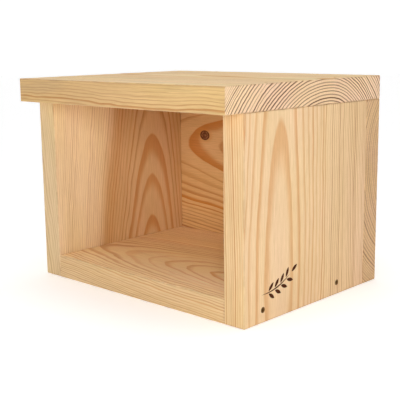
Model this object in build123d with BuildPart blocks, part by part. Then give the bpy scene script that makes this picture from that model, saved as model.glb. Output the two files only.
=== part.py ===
"""Open-fronted nest box: five 20 mm softwood boards held together by sixteen small-headed wood screws.

Frame: millimetres, +Z up, +X to the right seen from the open front, which faces -Y.
The origin is the centre of the whole object's footprint, on the surface that it stands on.
"""

import os
from math import radians, tan

from build123d import *

# Boards
board_thickness = 20.0
edge_round = 0.6  # every edge of every board is eased by this radius
box_width = 240.0  # over the two side panels
box_depth = 180.0  # from the side panels' front edges to the back panel's rear face
box_height = 160.0  # from the surface it stands on to the roof's underside
roof_overhang = 20.0  # the roof passes the side panels' front edges by this much

# Wood screws, 3.5 x 45 mm with a small head
screw_length = 45.0
screw_head_radius = 2.5  # the countersink's radius at the wood's surface
screw_head_angle = 60.0  # the whole angle of the head's cone
screw_head_sink = 0.25  # the head's flat top lies this deep in the wood
screw_shank_radius = 1.3
screw_core_radius = 1.15
screw_thread_radius = 1.75
screw_thread_start = 18.0  # measured along the screw from the wood's surface
screw_thread_pitch = 1.8
screw_point_length = 4.0
recess_radius = 1.15  # over the lobes of the six-lobed drive recess
recess_lobe_radius = 0.3
recess_depth = 1.2
recess_lobes = 6
pilot_relief = 1.0  # a blind bore is this much deeper than the screw's tip

# Leaf sprig burnt into the right side panel, near its lower front corner
sprig_depth = 0.3
sprig_front_inset = 20.0  # from the panel's front edge to the foot of the stem
sprig_foot_z = 22.0
sprig_length = 36.0  # from foot to tip, along the panel's depth
sprig_rise = 10.0  # the tip is this much higher than the foot
stem_sagitta = 3.0
stem_half_width = 0.6  # in the middle, from where it tapers to both ends
leaf_length = 8.5
leaf_sagitta = 1.5  # half of a leaf's width
leaf_gap = 1.5  # from the middle of the stem to a leaf's foot
leaf_angle = 40.0  # between a leaf and the stem
leaf_pairs = 4

# Where the screws are
floor_screw_front_inset = 22.0  # from the side panel's front edge
floor_screw_rear_inset = 40.0  # from the side panel's rear edge
back_screw_inset = 40.0  # from a side panel's top and bottom ends
roof_screw_inset = 35.0  # from a side panel's front and rear edges
middle_screw_offset = 60.0  # from the middle, for the screws into the floor and back panel

# Worked out from the above
roof_depth = box_depth + roof_overhang
front_y = roof_overhang - roof_depth / 2  # the side panels' front edges
rear_y = roof_depth / 2  # the back panel's rear face
panel_depth = box_depth - board_thickness  # side panels and floor, in front of the back panel
panel_rear_y = front_y + panel_depth
panel_centre_y = front_y + panel_depth / 2
side_centre_x = (box_width - board_thickness) / 2
floor_width = box_width - 2 * board_thickness
roof_top_z = box_height + board_thickness
half_thickness = board_thickness / 2

sprig_plane = Plane(
    origin=(box_width / 2, front_y + sprig_front_inset, sprig_foot_z),
    x_dir=(0, 1, 0),
    z_dir=(1, 0, 0),
)

SIDES = {"left": -1, "right": 1}

# Seats of the screws: each plane lies on the outer surface, at the head, and faces outwards
floor_screw_places = {
    "front": front_y + floor_screw_front_inset,
    "rear": panel_rear_y - floor_screw_rear_inset,
}
floor_screw_seats = {
    side: {
        f"floor_screw_{side}_{place}": Plane(
            origin=(sign * box_width / 2, y, half_thickness), x_dir=(0, 1, 0), z_dir=(sign, 0, 0)
        )
        for place, y in floor_screw_places.items()
    }
    for side, sign in SIDES.items()
}

back_screw_places = {"lower": back_screw_inset, "upper": box_height - back_screw_inset}
back_screw_seats = {
    side: {
        f"back_screw_{side}_{place}": Plane(
            origin=(sign * side_centre_x, rear_y, z), x_dir=(1, 0, 0), z_dir=(0, 1, 0)
        )
        for place, z in back_screw_places.items()
    }
    for side, sign in SIDES.items()
}
back_to_floor_seats = {
    f"back_screw_floor_{side}": Plane(
        origin=(sign * middle_screw_offset, rear_y, half_thickness), x_dir=(1, 0, 0), z_dir=(0, 1, 0)
    )
    for side, sign in SIDES.items()
}

roof_screw_places = {
    "front": front_y + roof_screw_inset,
    "rear": panel_rear_y - roof_screw_inset,
}
roof_screw_seats = {
    side: {
        f"roof_screw_{side}_{place}": Plane(origin=(sign * side_centre_x, y, roof_top_z))
        for place, y in roof_screw_places.items()
    }
    for side, sign in SIDES.items()
}
roof_to_back_seats = {
    f"roof_screw_back_{side}": Plane(
        origin=(sign * middle_screw_offset, rear_y - half_thickness, roof_top_z)
    )
    for side, sign in SIDES.items()
}


def drill_for_heads(*seat_groups):
    """Countersunk holes right through the board in hand, one at each seat."""
    for seats in seat_groups:
        with Locations(*seats.values()):
            CounterSinkHole(
                radius=screw_thread_radius,
                counter_sink_radius=screw_head_radius,
                depth=board_thickness,
                counter_sink_angle=screw_head_angle,
            )


def drill_for_points(*seat_groups):
    """Blind bores in the board in hand, which lies one board's thickness under the seats."""
    for seats in seat_groups:
        with Locations(*[seat.offset(-board_thickness) for seat in seats.values()]):
            Hole(
                radius=screw_thread_radius,
                depth=screw_length - board_thickness + pilot_relief,
            )


def finish(piece, name):
    """Labels a finished piece and writes it to its own STEP file."""
    piece.part.label = name
    export_step(piece.part, f"parts/{name}.step")


os.makedirs("parts", exist_ok=True)

# The sprig's outline, flat, with the foot of its stem at the origin
with BuildSketch() as leaf:
    with BuildLine():
        SagittaArc((leaf_gap, 0), (leaf_gap + leaf_length, 0), leaf_sagitta)
        SagittaArc((leaf_gap, 0), (leaf_gap + leaf_length, 0), -leaf_sagitta)
    make_face()

stem_ends = ((0, 0), (sprig_length, sprig_rise))
with BuildLine() as stem:
    SagittaArc(*stem_ends, -stem_sagitta)

with BuildSketch() as sprig:
    with BuildLine():
        SagittaArc(*stem_ends, stem_half_width - stem_sagitta)
        SagittaArc(*stem_ends, -stem_half_width - stem_sagitta)
    make_face()
    for pair in range(leaf_pairs + 1):
        along = (pair + 1) / (leaf_pairs + 1)
        heading = stem.edge().tangent_angle_at(along)
        for turn in (-leaf_angle, leaf_angle) if pair < leaf_pairs else (0,):
            with Locations(Location(stem.edge() @ along, (0, 0, heading + turn))):
                add(leaf.sketch)

# Roof: one board, flush with the box at both sides and the back
with BuildPart() as roof_board:
    with BuildSketch(Plane.XY.offset(box_height)):
        Rectangle(box_width, roof_depth)
    extrude(amount=board_thickness)
    fillet(roof_board.edges(), edge_round)
    drill_for_heads(roof_screw_seats["left"], roof_screw_seats["right"], roof_to_back_seats)
finish(roof_board, "roof_board")

# Side panels: upright boards, from the surface up to the roof
for side, sign in SIDES.items():
    with BuildPart() as side_panel:
        with BuildSketch(Plane.XY):
            with Locations((sign * side_centre_x, panel_centre_y)):
                Rectangle(board_thickness, panel_depth)
        extrude(amount=box_height)
        fillet(side_panel.edges(), edge_round)
        drill_for_heads(floor_screw_seats[side])
        drill_for_points(back_screw_seats[side], roof_screw_seats[side])
        if side == "right":
            with BuildSketch(sprig_plane):
                add(sprig.sketch)
            extrude(amount=-sprig_depth, mode=Mode.SUBTRACT)
    finish(side_panel, f"{side}_side_panel")

# Floor: between the side panels, in front of the back panel
with BuildPart() as floor_board:
    with BuildSketch(Plane.XY):
        with Locations((0, panel_centre_y)):
            Rectangle(floor_width, panel_depth)
    extrude(amount=board_thickness)
    fillet(floor_board.edges(), edge_round)
    drill_for_points(floor_screw_seats["left"], floor_screw_seats["right"], back_to_floor_seats)
finish(floor_board, "floor_board")

# Back panel: over the full width, behind the side panels and the floor
with BuildPart() as back_panel:
    with BuildSketch(Plane.XY):
        with Locations((0, rear_y - half_thickness)):
            Rectangle(box_width, board_thickness)
    extrude(amount=box_height)
    fillet(back_panel.edges(), edge_round)
    drill_for_heads(back_screw_seats["left"], back_screw_seats["right"], back_to_floor_seats)
    drill_for_points(roof_to_back_seats)
finish(back_panel, "back_panel")

# One wood screw, its axis on Z, its point down and the wood's surface at z = 0
head_slope = tan(radians(screw_head_angle / 2))
screw_neck_z = -(screw_head_radius - screw_shank_radius) / head_slope
screw_thread_end = screw_length - screw_point_length
thread_turns = int((screw_thread_end - screw_thread_start) / screw_thread_pitch)

screw_outline = [
    (0, -screw_head_sink),
    (screw_head_radius - screw_head_sink * head_slope, -screw_head_sink),
    (screw_shank_radius, screw_neck_z),
    (screw_shank_radius, -screw_thread_start),
]
for turn in range(thread_turns):
    root_z = -screw_thread_start - turn * screw_thread_pitch
    screw_outline.append((screw_core_radius, root_z))
    screw_outline.append((screw_thread_radius, root_z - screw_thread_pitch / 2))
screw_outline.append((screw_core_radius, -screw_thread_end))
screw_outline.append((0, -screw_length))

with BuildPart() as wood_screw:
    with BuildSketch(Plane.XZ):
        with BuildLine():
            Polyline(*screw_outline, close=True)
        make_face()
    revolve(axis=Axis.Z)
    with BuildSketch(Plane.XY.offset(-screw_head_sink)):
        Circle(recess_radius - recess_lobe_radius)
        with PolarLocations(recess_radius - recess_lobe_radius, recess_lobes):
            Circle(recess_lobe_radius)
    extrude(amount=-recess_depth, mode=Mode.SUBTRACT)

# The same screw at every seat
all_seats = {
    **floor_screw_seats["left"],
    **floor_screw_seats["right"],
    **back_screw_seats["left"],
    **back_screw_seats["right"],
    **back_to_floor_seats,
    **roof_screw_seats["left"],
    **roof_screw_seats["right"],
    **roof_to_back_seats,
}
for screw_name, seat in all_seats.items():
    with BuildPart() as placed_screw:
        with Locations(seat):
            add(wood_screw.part)
    finish(placed_screw, screw_name)
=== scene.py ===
"""The looks of the open-fronted nest box: planed softwood boards, dark screws, soft studio light.

Every board is a slab cut from a log. Its material works out, for each point of the wood, how far
that point lies from the log's pith, and so which growth ring it is in. The same rings then show as
arches on a board's face, as lines on its edges and as arcs on its ends, without images or seams.
Places and widths in the materials are in millimetres. All others are in metres, and so are bumps.
"""

import math

import bpy
from mathutils import Matrix, Vector


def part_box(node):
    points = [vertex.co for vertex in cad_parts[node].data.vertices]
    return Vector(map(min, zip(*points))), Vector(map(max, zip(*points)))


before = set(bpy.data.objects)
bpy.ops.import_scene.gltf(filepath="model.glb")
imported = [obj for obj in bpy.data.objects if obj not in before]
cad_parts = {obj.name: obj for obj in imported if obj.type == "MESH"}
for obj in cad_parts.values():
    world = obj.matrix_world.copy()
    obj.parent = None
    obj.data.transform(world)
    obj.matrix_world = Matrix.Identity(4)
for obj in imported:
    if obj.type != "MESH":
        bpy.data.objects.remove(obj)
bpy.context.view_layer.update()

MM = 1000.0  # millimetres in a metre
AXES = "XYZ"
WHITE = (1.0, 1.0, 1.0)


def srgb(red, green, blue):
    """A colour given in the usual 0 to 255 as Blender's linear red, green, blue and alpha."""
    def linear(value):
        value /= 255
        return value / 12.92 if value <= 0.04045 else ((value + 0.055) / 1.055) ** 2.4
    return (linear(red), linear(green), linear(blue), 1.0)


EARLYWOOD = srgb(243, 211, 163)
RESINOUS_LATEWOOD = srgb(212, 140, 60)  # the orange of wide rings
PLAIN_LATEWOOD = srgb(176, 110, 60)  # the tan of narrow rings
END_EARLYWOOD = srgb(232, 195, 158)
END_LATEWOOD = srgb(92, 50, 28)
KNOT = srgb(168, 112, 72)
KNOT_RIM = srgb(96, 52, 26)
BURNT = srgb(72, 30, 2)
WORN = srgb(176, 142, 104)
PLATING = srgb(94, 62, 22)
THIN_PLATING = srgb(122, 88, 40)
RUBBED_PLATING = srgb(156, 124, 74)

# Colours that wood is multiplied by
# The heartwood's brown, partly painted shade that darkens the wood deeper inside the box
HEARTWOOD_AND_SHADE_TINT = (0.74, 0.57, 0.43)
BLUE_STAIN_TINT = (0.72, 0.79, 0.92)
PINK_TINT = (1.0, 0.975, 1.0)
YELLOW_TINT = (1.0, 1.0, 0.93)

# Within one year, from 0 to 1
LATEWOOD_RISE = 0.35  # the share of the year in which earlywood turns into latewood
LATEWOOD_END = 0.92  # when latewood starts to give way to the next year's earlywood

# The height of the bumps in metres, and the strength of the gloss
WOOD_BUMP = 0.00005
SCREW_BUMP = 0.00004
SPECULAR = 0.2

# The box around the floor of the engraved sprig, in millimetres. The panel's outer face is at
# x = 120, and the box stops just short of it, so that only the engraving is burnt.
SPRIG_BOX = ((119.0, -62.0, 15.0), (119.93, -12.0, 41.0))


class Nodes:
    """A material's node tree, with short calls for the nodes that the materials are made of."""

    def __init__(self, name):
        self.material = bpy.data.materials.new(name)
        self.material.use_nodes = True
        self.tree = self.material.node_tree
        self.tree.nodes.clear()

    def node(self, kind, **settings):
        made = self.tree.nodes.new(kind)
        for key, value in settings.items():
            setattr(made, key, value)
        return made

    def feed(self, socket, value):
        """Links a socket to another node's output, or sets it to a plain value."""
        if isinstance(value, bpy.types.NodeSocket):
            self.tree.links.new(value, socket)
        else:
            socket.default_value = value

    def math(self, operation, first, second=0.0, third=0.0):
        made = self.node("ShaderNodeMath", operation=operation)
        for socket, value in zip(made.inputs, (first, second, third)):
            self.feed(socket, value)
        return made.outputs[0]

    def add(self, *values):
        total = values[0]
        for value in values[1:]:
            total = self.math("ADD", total, value)
        return total

    def subtract(self, first, second):
        return self.math("SUBTRACT", first, second)

    def times(self, *values):
        product = values[0]
        for value in values[1:]:
            product = self.math("MULTIPLY", product, value)
        return product

    def least(self, first, second):
        return self.math("MINIMUM", first, second)

    def most(self, first, second):
        return self.math("MAXIMUM", first, second)

    def absolute(self, value):
        return self.math("ABSOLUTE", value)

    def length(self, first, second):
        squares = self.add(self.times(first, first), self.times(second, second))
        return self.math("SQRT", squares)

    def rise(self, value, start, end, low=0.0, high=1.0):
        """A smooth step of value, from low at start to high at end."""
        made = self.node("ShaderNodeMapRange", interpolation_type="SMOOTHSTEP")
        for key, number in (("Value", value), ("From Min", start), ("From Max", end)):
            self.feed(made.inputs[key], number)
        self.feed(made.inputs["To Min"], low)
        self.feed(made.inputs["To Max"], high)
        return made.outputs[0]

    def fall(self, value, start, end):
        """A smooth step of value, from 1 at start to 0 at end."""
        return self.rise(value, start, end, 1.0, 0.0)

    def spread(self, value, low, high):
        """Takes a value that runs from 0 to 1 to the range from low to high."""
        return self.math("MULTIPLY_ADD", value, high - low, low)

    def around(self, value, span):
        """Takes a value that runs from 0 to 1 to a range of span around 0."""
        return self.times(self.subtract(value, 0.5), span)

    def towards(self, value, goal, share):
        """A value that has gone a share of the way to its goal."""
        return self.add(value, self.times(share, self.subtract(goal, value)))

    def combine(self, x, y, z):
        made = self.node("ShaderNodeCombineXYZ")
        for socket, value in zip(made.inputs, (x, y, z)):
            self.feed(socket, value)
        return made.outputs[0]

    def separate(self, vector):
        made = self.node("ShaderNodeSeparateXYZ")
        self.feed(made.inputs[0], vector)
        return made.outputs

    def noise(self, vector, detail=2.0, roughness=0.5, colour=False):
        made = self.node("ShaderNodeTexNoise", noise_dimensions="3D")
        self.feed(made.inputs["Vector"], vector)
        made.inputs["Scale"].default_value = 1.0
        made.inputs["Detail"].default_value = detail
        made.inputs["Roughness"].default_value = roughness
        return made.outputs["Color" if colour else "Fac"]

    def three_noises(self, vector, detail):
        """Three noises that don't depend on each other."""
        return self.separate(self.noise(vector, detail=detail, colour=True))

    def mix(self, share, first, second, blend="MIX"):
        made = self.node("ShaderNodeMix", data_type="RGBA", blend_type=blend)
        self.feed(made.inputs["Factor"], share)
        self.feed(made.inputs[6], first)
        self.feed(made.inputs[7], second)
        return made.outputs[2]

    def times_colour(self, colour, other):
        return self.mix(1.0, colour, other, blend="MULTIPLY")

    def tint(self, colour, red_green_blue):
        """A colour times a fixed one, given without alpha."""
        return self.times_colour(colour, (*red_green_blue, 1.0))

    def shade(self, colour, factor):
        """A colour made darker and warmer, or lighter and cooler, by a factor."""
        warmer = (self.math("POWER", factor, power) for power in (1.0, 1.2, 1.6))
        return self.times_colour(colour, self.combine(*warmer))

    def place(self):
        """The point's place in millimetres, in the shared frame, and the surface's normal."""
        coordinates = self.node("ShaderNodeTexCoord")
        scaled = self.node("ShaderNodeVectorMath", operation="SCALE")
        self.feed(scaled.inputs[0], coordinates.outputs["Object"])
        scaled.inputs["Scale"].default_value = MM
        return scaled.outputs[0], coordinates.outputs["Normal"]

    def finish(self, colour, roughness, height, bump_distance, **settings):
        """Ends the tree in a Principled shader, with bumps of height times bump_distance."""
        bump = self.node("ShaderNodeBump")
        bump.inputs["Strength"].default_value = 1.0
        bump.inputs["Distance"].default_value = bump_distance
        self.feed(bump.inputs["Height"], height)
        shader = self.node("ShaderNodeBsdfPrincipled")
        self.feed(shader.inputs["Base Color"], colour)
        self.feed(shader.inputs["Roughness"], roughness)
        self.feed(shader.inputs["Normal"], bump.outputs[0])
        for key, value in settings.items():
            shader.inputs[key.replace("_", " ")].default_value = value
        output = self.node("ShaderNodeOutputMaterial")
        self.feed(output.inputs["Surface"], shader.outputs[0])
        return self.material


class Wood(Nodes):
    """The node tree of one board's wood, with the coordinates that its patterns are drawn in.

    along, across and depth are the axes of its grain, its width and its thickness, and w, u and v
    are the point's places on them.
    """

    def __init__(self, node_name, along, across, depth, seed):
        super().__init__(node_name + "_softwood")
        point, normal = self.place()
        self.xyz = dict(zip(AXES, self.separate(point)))
        self.normal = normal
        self.w, self.u, self.v = (self.xyz[letter] for letter in (along, across, depth))
        self.seed = seed
        self.low, self.high = (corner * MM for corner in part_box(node_name))
        self.end_grain = self.facing(along)
        self.edge = self.facing(across)
        self.hairs = self.noise(self.stretched(0.1, 4.0, 50.0), detail=2.0, roughness=0.6)

    def facing(self, letter):
        """1 on the surfaces that face along an axis, and 0 on the others."""
        return self.rise(self.absolute(self.separate(self.normal)[AXES.index(letter)]), 0.6, 0.8)

    def stretched(self, lengthwise, crosswise, offset=0.0):
        """Coordinates for a noise that is drawn out along the grain."""
        shifted = self.times(self.add(self.w, self.seed * 7 + offset), lengthwise)
        return self.combine(shifted, self.times(self.u, crosswise), self.times(self.v, crosswise))

    def from_pith(self, pith, tilt, sweep, sweep_from, squash, waviness):
        """The distance from the log's pith, which leans, bends and wavers along the board."""
        sway = self.three_noises(self.stretched(0.008, 0.02), detail=1.0)
        ripple = self.three_noises(self.stretched(0.035, 0.1, 300.0), detail=1.0)
        bend = self.math("POWER", self.subtract(self.w, sweep_from), 2.0)
        centre_u = self.add(pith[0], self.times(self.w, tilt[0]))
        centre_v = self.add(pith[1], self.times(self.w, tilt[1]), self.times(bend, sweep))
        offset_u = self.add(
            self.subtract(self.u, centre_u),
            self.around(sway[0], waviness * 8),
            self.around(ripple[0], waviness * 2.5),
        )
        offset_v = self.add(
            self.subtract(self.v, centre_v),
            self.around(sway[1], waviness * 2),
            self.around(ripple[1], waviness * 0.35),
        )
        low_side = self.times(self.least(offset_u, 0.0), squash)
        high_side = self.most(offset_u, 0.0)
        return self.length(self.add(low_side, high_side), offset_v)

    def rings(self, radius, first, ring, narrow_from, narrow_ring, bold):
        """How far through its year a point's wood is, how much of it is latewood, and its hue."""
        along_radius = self.combine(self.times(radius, 0.3 / ring), self.seed, 0.0)
        uneven = self.noise(along_radius, detail=1.0)
        beyond = self.most(self.subtract(radius, narrow_from), 0.0)
        years = self.add(
            self.times(self.subtract(radius, first), 1 / ring),
            self.times(beyond, 1 / narrow_ring - 1 / ring),
            self.around(uneven, 0.6),
        )
        year = self.math("FLOOR", years)
        season = self.math("FRACT", years)
        chance = self.node("ShaderNodeTexWhiteNoise", noise_dimensions="2D")
        self.feed(chance.inputs["Vector"], self.combine(year, self.seed, 0.0))
        strength, onset, hue = self.separate(chance.outputs["Color"])
        strength = self.spread(strength, 0.4, 1.0)
        onset = self.spread(onset, 0.3, 0.65)
        for bold_year, bold_onset, bold_strength in bold:
            is_bold = self.math("COMPARE", year, bold_year, 0.5)
            strength = self.towards(strength, bold_strength, is_bold)
            onset = self.towards(onset, bold_onset, is_bold)
            hue = self.times(hue, self.subtract(1.0, is_bold))
        late = self.times(
            self.rise(season, onset, self.add(onset, LATEWOOD_RISE)),
            self.fall(season, LATEWOOD_END, 1.0),
            strength,
            self.spread(season, 0.6, 1.05),
        )
        return season, late, hue

    def sawn_end(self, late, season, faded, contrast, tint):
        """The colour of a cut across the grain, and the saw's marks on it."""
        saw = self.noise(
            self.combine(self.times(self.v, 0.1), self.times(self.u, 1.7), self.seed), detail=2.0
        )
        pores = self.noise(
            self.combine(self.times(self.u, 3.2), self.times(self.v, 3.2), self.seed), detail=1.0
        )
        crisp = self.times(late, self.rise(season, 0.3, 0.7), faded)
        colour = self.mix(self.least(self.times(crisp, contrast), 1.0), END_EARLYWOOD, END_LATEWOOD)
        marks = self.times(self.spread(saw, 0.9, 1.08), self.spread(pores, 0.9, 1.1))
        return self.tint(self.shade(colour, marks), tint), saw

    def browner_heart_and_shade(self, colour, radius, heart_and_shade_radius, cloud):
        """Heartwood, brownest at its ragged border and half as strong on a cut end. Its brown is
        partly painted shade, which darkens the wood deeper inside the box.
        """
        ragged = self.add(radius, self.around(cloud, 8.0))
        heart = self.times(
            self.fall(ragged, heart_and_shade_radius - 5, heart_and_shade_radius + 6),
            self.rise(radius, heart_and_shade_radius - 20, heart_and_shade_radius, 0.62, 1.0),
            self.spread(self.end_grain, 1.0, 0.5),
        )
        return self.mix(heart, colour, self.tint(colour, HEARTWOOD_AND_SHADE_TINT))

    def stained(self, colour, amount):
        """Grey-blue streaks along the faces."""
        streaks = self.rise(self.noise(self.stretched(0.012, 0.05, 40.0), detail=2.0), 0.5, 0.68)
        share = self.times(streaks, amount, self.subtract(1.0, self.end_grain))
        return self.mix(share, colour, self.tint(colour, BLUE_STAIN_TINT))

    def from_knot(self, knot):
        """The distance from a knot's middle, which is 1 at its outline."""
        along, across, half_length, half_width = knot
        return self.length(
            self.times(self.subtract(self.w, along), 1 / half_length),
            self.times(self.subtract(self.u, across), 1 / half_width),
        )

    def with_knot(self, colour, height, from_knot):
        """A branch that runs through the board: fine rings of its own and a dark rim of bark."""
        checks = self.noise(
            self.combine(self.times(self.w, 0.7), self.times(self.u, 0.7), self.seed), detail=2.0
        )
        ring = self.math("FRACT", self.add(self.times(from_knot, 1.6), self.times(checks, 2.5)))
        inside = self.mix(self.rise(ring, 0.3, 0.9), KNOT, KNOT_RIM)
        inside = self.mix(self.rise(checks, 0.5, 0.6), inside, KNOT_RIM)
        inside = self.shade(inside, self.spread(self.hairs, 0.85, 1.15))
        rim = self.times(self.rise(from_knot, 0.72, 0.92), self.fall(from_knot, 0.98, 1.12))
        inside = self.mix(rim, inside, KNOT_RIM)
        resin = self.rise(from_knot, 0.9, 2.2, 0.45, 0.0)
        colour = self.mix(resin, colour, RESINOUS_LATEWOOD)
        colour = self.mix(self.fall(from_knot, 0.96, 1.1), colour, inside)
        return colour, self.add(height, self.times(rim, -2.0))

    def rubbed(self, colour, roughness):
        """Edges that are handled: a little rubbed and greyed, unevenly."""
        distances = []
        for letter, low, high in zip(AXES, self.low, self.high):
            from_middle = self.absolute(self.subtract(self.xyz[letter], (high + low) / 2))
            distances.append(self.subtract((high - low) / 2, from_middle))
        # On the surface the least of the three is 0, and the middle one is the distance from an edge
        lower_pair = self.least(distances[0], distances[1])
        upper_pair = self.most(distances[0], distances[1])
        from_edge = self.most(lower_pair, self.least(upper_pair, distances[2]))
        patchy = self.noise(
            self.combine(*(self.times(self.xyz[letter], 0.09) for letter in AXES)), detail=3.0
        )
        wear = self.times(
            self.fall(from_edge, 0.2, self.spread(patchy, 0.3, 2.6)), self.rise(patchy, 0.35, 0.6)
        )
        colour = self.mix(self.times(wear, 0.4), colour, WORN)
        return colour, self.add(roughness, self.times(wear, -0.12))

    def branded(self, colour, roughness, mark):
        """Wood burnt dark inside a box, which is given by its low and its high corner."""
        burnt = 1.0
        for letter, low, high in zip(AXES, *mark):
            past_low = self.math("GREATER_THAN", self.xyz[letter], low)
            before_high = self.math("LESS_THAN", self.xyz[letter], high)
            burnt = self.times(past_low, before_high, burnt)
        char = self.shade(BURNT, self.spread(self.hairs, 0.6, 1.5))
        return self.mix(burnt, colour, char), self.add(roughness, self.times(burnt, 0.15))


def softwood(
    node_name,
    along,
    across,
    depth,
    seed,
    pith,
    tilt,
    first,
    ring,
    narrow_from,
    narrow_ring,
    contrast,
    tone_and_painted_light,
    edge_tint_and_shade=WHITE,
    sweep=0.0,
    sweep_from=0.0,
    squash=1.0,
    waviness=1.0,
    fade_from=None,
    faded_strength=1.0,
    bold=(),
    end_contrast=1.3,
    end_tint=WHITE,
    heart_and_shade_radius=None,
    blue_stain=0.0,
    knot=None,
    mark=None,
):
    """Planed softwood for one board. along is the axis of its grain, across and depth the other two.

    Where the log lies: pith gives its centre as (across, depth) where along is 0. tilt moves that by
    so much per millimetre along the board, and sweep moves it in depth with the square of the
    distance from sweep_from. squash flattens the log on its low side across the board, and waviness
    sets how much it wavers.

    Its rings: year 0 starts at the radius first. ring is the rings' width, and narrow_ring their
    width outside the radius narrow_from. Outside fade_from, which is narrow_from where it isn't
    given, the latewood is tan and faded_strength times as strong. bold lists single rings as (year,
    onset, strength): how early in its year the latewood starts, and how strong it is.

    Its colours: contrast is the latewood's strength on the faces, and end_contrast on the cut ends.
    tone tints the whole board, partly as the board's own colour and partly as painted light and
    shade:
    it makes the boards seen inside the box lighter and the right outer panel darker.
    edge_tint_and_shade tints the surfaces that face across it, partly as their own colour and partly
    as painted shade on the front edges. end_tint tints its ends.
    heartwood is the radius within which the wood is browner, partly as heartwood and partly as
    painted shade that darkens the wood deeper inside the box. blue_stain is the strength of
    grey-blue streaks.
    knot is (along, across, half length, half width), and mark is the box, as (low, high), within
    which the wood is burnt.
    """
    wood = Wood(node_name, along, across, depth, seed)
    radius = wood.from_pith(pith, tilt, sweep, sweep_from, squash, waviness)
    if knot:
        from_knot = wood.from_knot(knot)
        pushed = wood.math("EXPONENT", wood.times(wood.times(from_knot, from_knot), -0.3))
        radius = wood.subtract(radius, pushed)
    season, late, hue = wood.rings(radius, first, ring, narrow_from, narrow_ring, bold)
    fade_from = fade_from or narrow_from
    narrowness = wood.rise(radius, fade_from, fade_from + 8)
    faded = wood.spread(narrowness, 1.0, faded_strength)

    # Fibres, resin canals and slow changes of colour
    fibres = wood.noise(wood.stretched(0.03, 1.3), detail=3.0, roughness=0.6)
    dashes = wood.noise(wood.stretched(0.13, 1.9, 90.0), detail=0.0)
    canals = wood.times(wood.rise(dashes, 0.72, 0.82), wood.spread(late, 0.4, 1.0))
    clouds = wood.three_noises(wood.stretched(0.006, 0.025, 700.0), detail=2.0)

    tan_share = wood.most(narrowness, wood.times(hue, 0.6))
    latewood = wood.mix(tan_share, RESINOUS_LATEWOOD, PLAIN_LATEWOOD)
    face = wood.mix(wood.times(late, contrast, faded), EARLYWOOD, latewood)
    end, saw = wood.sawn_end(late, season, faded, end_contrast, end_tint)
    colour = wood.mix(wood.end_grain, face, end)
    grain_shade = wood.times(
        wood.spread(fibres, 0.76, 1.24),
        wood.spread(wood.hairs, 0.84, 1.16),
        wood.spread(clouds[0], 0.88, 1.12),
        wood.spread(canals, 1.0, 0.82),
    )
    colour = wood.shade(colour, grain_shade)
    slow_tint = wood.mix(wood.rise(clouds[1], 0.3, 0.7), (*PINK_TINT, 1.0), (*YELLOW_TINT, 1.0))
    colour = wood.times_colour(colour, slow_tint)
    # Browner heartwood, partly painted shade that darkens the wood deeper inside the box
    if heart_and_shade_radius:
        colour = wood.browner_heart_and_shade(colour, radius, heart_and_shade_radius, clouds[2])
    # Painted shade, besides the edges' own colour: the surfaces that face across the board made
    # darker
    colour = wood.mix(wood.edge, colour, wood.tint(colour, edge_tint_and_shade))
    if blue_stain:
        colour = wood.stained(colour, blue_stain)
    # Painted light and shade, besides the board's own colour: the whole board made lighter or darker
    colour = wood.tint(colour, tone_and_painted_light)

    roughness = wood.add(
        wood.spread(fibres, 0.6, 0.8), wood.times(late, -0.1), wood.times(wood.end_grain, 0.12)
    )
    height = wood.add(
        wood.times(late, 0.3),
        wood.times(fibres, 0.3),
        wood.times(wood.hairs, 0.3),
        wood.times(canals, -0.8),
        wood.times(wood.end_grain, saw, 1.5),
    )
    if knot:
        colour, height = wood.with_knot(colour, height, from_knot)
    colour, roughness = wood.rubbed(colour, roughness)
    if mark:
        colour, roughness = wood.branded(colour, roughness, mark)
    return wood.finish(colour, roughness, height, WOOD_BUMP, Specular_IOR_Level=SPECULAR)


def screw_steel():
    """Dark brown plated steel, mottled, with small bright spots where the plating is rubbed."""
    n = Nodes("screw_steel_worn")
    point, _ = n.place()
    patches = n.noise(point, detail=3.0)
    fine_point = n.combine(*(n.times(coordinate, 6.0) for coordinate in n.separate(point)))
    grains = n.noise(fine_point, detail=2.0)
    colour = n.mix(n.rise(patches, 0.4, 0.65), PLATING, THIN_PLATING)
    colour = n.mix(n.rise(grains, 0.6, 0.75), colour, RUBBED_PLATING)
    roughness = n.add(n.spread(patches, 0.45, 0.7), n.times(grains, -0.1))
    return n.finish(colour, roughness, grains, SCREW_BUMP, Metallic=0.5, Specular_IOR_Level=SPECULAR)


# Each board's whole tint is partly its own colour and partly painted light and shade: the floor, the
# left panel and the back, which are seen inside the box, are made lighter, and the right outer panel
# darker. The tint of the surfaces that face across a board is partly painted shade too, which
# darkens the front edges of the roof, the left panel and the floor.
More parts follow.
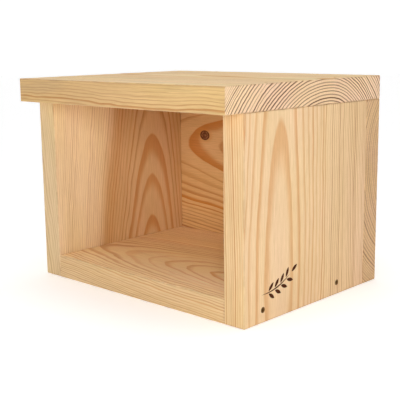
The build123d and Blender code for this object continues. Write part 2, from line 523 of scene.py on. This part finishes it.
BOARDS = {
    "roof_board": dict(
        along="X", across="Y", depth="Z", seed=11.0,
        pith=(21.4, 114.0), tilt=(0.02, 0.02), squash=0.75,
        first=64.0, ring=2.5, narrow_from=100.0, narrow_ring=1.5, faded_strength=0.6,
        bold=(
            (-1.0, 0.6, 0.9), (0.0, 0.4, 0.7), (1.0, 0.5, 0.85), (2.0, 0.45, 0.85),
            (3.0, 0.45, 0.85), (4.0, 0.45, 0.8), (9.0, 0.5, 0.6), (10.0, 0.5, 0.6),
            (12.0, 0.5, 0.7), (13.0, 0.5, 0.7),
        ),
        contrast=0.9, blue_stain=0.25, tone_and_painted_light=(1.02, 1.07, 1.11), edge_tint_and_shade=(0.675, 0.59, 0.455),
    ),
    "right_side_panel": dict(
        along="Z", across="Y", depth="X", seed=23.0,
        pith=(-40.0, 15.0), tilt=(0.016, 0.0), sweep=-8.9e-5, sweep_from=25.0, waviness=0.8,
        first=106.6, ring=2.0, narrow_from=118.0, narrow_ring=1.6,
        bold=(
            (-1.0, 0.45, 0.58), (0.0, 0.45, 0.65), (1.0, 0.5, 0.5), (2.0, 0.55, 0.55),
            (3.0, 0.5, 0.75), (4.0, 0.5, 0.4), (5.0, 0.5, 0.4),
        ),
        contrast=0.85, tone_and_painted_light=(0.86, 0.84, 0.88), edge_tint_and_shade=(0.95, 0.96, 0.9), mark=SPRIG_BOX,
    ),
    # The browner heartwood of the left panel and of the back panel below is partly painted shade,
    # which darkens the wood deeper inside the box.
    "left_side_panel": dict(
        along="Z", across="Y", depth="X", seed=31.0,
        pith=(35.0, -179.0), tilt=(0.045, -0.06),
        first=81.5, ring=2.4, narrow_from=88.0, narrow_ring=1.7, fade_from=98.0, faded_strength=0.65,
        bold=((-1.0, 0.5, 0.9), (0.0, 0.5, 0.8), (1.0, 0.3, 0.9)),
        contrast=0.75, heart_and_shade_radius=103.5, tone_and_painted_light=(1.04, 1.1, 1.2), edge_tint_and_shade=(0.72, 0.69, 0.62),
    ),
    "floor_board": dict(
        along="X", across="Y", depth="Z", seed=47.0,
        pith=(-27.0, 100.0), tilt=(0.0, -0.065), waviness=1.8,
        first=84.9, ring=2.0, narrow_from=104.0, narrow_ring=1.6,
        contrast=0.7, tone_and_painted_light=(1.11, 1.19, 1.32), edge_tint_and_shade=(0.686, 0.618, 0.545),
    ),
    "back_panel": dict(
        along="X", across="Z", depth="Y", seed=61.0,
        pith=(107.5, 180.0), tilt=(0.0, -0.066), waviness=0.9,
        first=106.0, ring=3.0, narrow_from=122.0, narrow_ring=2.1,
        bold=((-1.0, 0.25, 0.95),),
        contrast=0.9, end_contrast=0.6, end_tint=(0.81, 0.84, 0.85),
        heart_and_shade_radius=200.0, tone_and_painted_light=(1.07, 1.05, 0.96), knot=(-66.6, 117.6, 6.1, 4.7),
    ),
}


def dress_nodes():
    """Every board gets a wood of its own, and all screws share one steel."""
    woods = {node_name: softwood(node_name, **looks) for node_name, looks in BOARDS.items()}
    steel = screw_steel()
    for node_name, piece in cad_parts.items():
        piece.material_slots[0].material = woods.get(node_name, steel)


def studio_floor():
    """A white painted floor, which the box stands just clear of."""
    side, gap = 8.0, 0.0002
    bpy.ops.mesh.primitive_plane_add(size=side, location=(0.0, 0.0, -gap))
    floor = bpy.context.object
    floor.name = "floor"
    paint = Nodes("floor_paint")
    point, _ = paint.place()
    mottle = paint.noise(point, detail=2.0)
    white = srgb(255, 255, 255)
    painted = paint.finish(
        colour=white, roughness=paint.spread(mottle, 0.8, 0.9), height=mottle, bump_distance=0.0,
        Emission_Color=white, Emission_Strength=0.2,
    )
    floor.data.materials.append(painted)


def studio_surround():
    """A white surround: bright up to a little above eye level, dim higher up, bright overhead."""
    # Each part's strength goes from the third value to the fourth as the direction's height goes
    # from the first to the second, where 0 is level and 1 straight up
    band = (0.14, 0.5, 1.1, 0.12)
    overhead = (0.8, 0.9, 0.0, 2.1)
    world = bpy.data.worlds.new("studio")
    bpy.context.scene.world = world
    world.use_nodes = True
    nodes, links = world.node_tree.nodes, world.node_tree.links
    direction = nodes.new("ShaderNodeTexCoord")
    height = nodes.new("ShaderNodeSeparateXYZ")
    links.new(direction.outputs["Generated"], height.inputs[0])
    total = nodes.new("ShaderNodeMath")
    total.operation = "ADD"
    for socket, numbers in zip(total.inputs, (band, overhead)):
        part = nodes.new("ShaderNodeMapRange")
        part.interpolation_type = "SMOOTHSTEP"
        links.new(height.outputs["Z"], part.inputs["Value"])
        for key, number in zip(("From Min", "From Max", "To Min", "To Max"), numbers):
            part.inputs[key].default_value = number
        links.new(part.outputs[0], socket)
    background = nodes["Background"]
    links.new(total.outputs[0], background.inputs["Strength"])
    background.inputs["Color"].default_value = (*WHITE, 1.0)


def key_light():
    """One small soft light at the front right, pointed at the box."""
    target = Vector((0.05, 0.0, 0.09))
    data = bpy.data.lights.new("key", "AREA")
    data.shape = "RECTANGLE"
    data.size = 0.25
    data.size_y = 0.25
    data.energy = 2.4
    lamp = bpy.data.objects.new("key", data)
    bpy.context.scene.collection.objects.link(lamp)
    lamp.location = (0.55, -0.65, 0.35)
    lamp.visible_camera = False
    lamp.rotation_euler = (target - lamp.location).to_track_quat("-Z", "Y").to_euler()


def camera():
    """A long lens at the front right, a little above the roof."""
    stand = Vector((0.5046, -0.5339, 0.2116))
    yaw, pitch, roll = (math.radians(angle) for angle in (43.32, 10.79, -0.68))
    forward = Vector(
        (-math.sin(yaw) * math.cos(pitch), math.cos(yaw) * math.cos(pitch), -math.sin(pitch))
    )
    right = Vector((math.cos(yaw), math.sin(yaw), 0.0))
    up = right.cross(forward)
    turned_right = right * math.cos(roll) + up * math.sin(roll)
    turned_up = up * math.cos(roll) - right * math.sin(roll)
    axes = Matrix((turned_right, turned_up, -forward)).transposed()

    data = bpy.data.cameras.new("camera")
    data.lens = 75.8
    data.sensor_width = 36.0
    made = bpy.data.objects.new("camera", data)
    made.matrix_world = Matrix.Translation(stand) @ axes.to_4x4()
    bpy.context.scene.collection.objects.link(made)
    bpy.context.scene.camera = made


dress_nodes()
studio_floor()
studio_surround()
key_light()
camera()
bpy.context.scene.view_settings.view_transform = "Standard"
